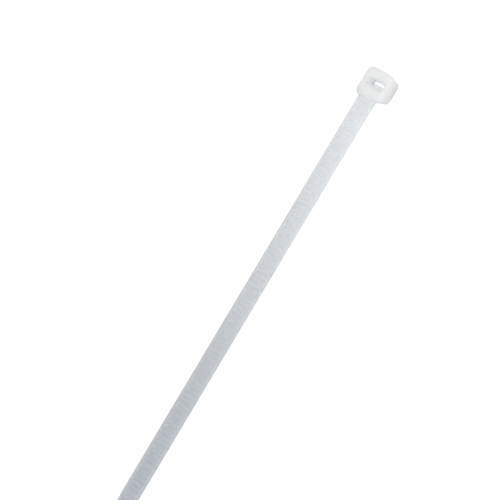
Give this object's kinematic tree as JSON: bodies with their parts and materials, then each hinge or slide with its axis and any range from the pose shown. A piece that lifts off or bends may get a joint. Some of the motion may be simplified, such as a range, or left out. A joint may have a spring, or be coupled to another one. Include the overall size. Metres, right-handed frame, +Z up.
{
  "type": "cable tie",
  "caption": "Self-locking cable tie in translucent natural nylon: a flat toothed strap with a tapered ribbed tail, and a box head with a slot and a locking pawl.",
  "frame": {"origin": "on the surface that the tie lies on, under the middle of its overall length and width", "axes": "+X runs along the strap from the tip of the tail to the head, +Y across the strap, +Z up, out of the head's entry face and the strap's toothed side"},
  "size_m": [0.1499, 0.0078, 0.0054],
  "materials": {
    "nylon": "satin"
  },
  "bodies": {
    "root": {"cable_tie": "nylon"}
  },
  "joints": []
}
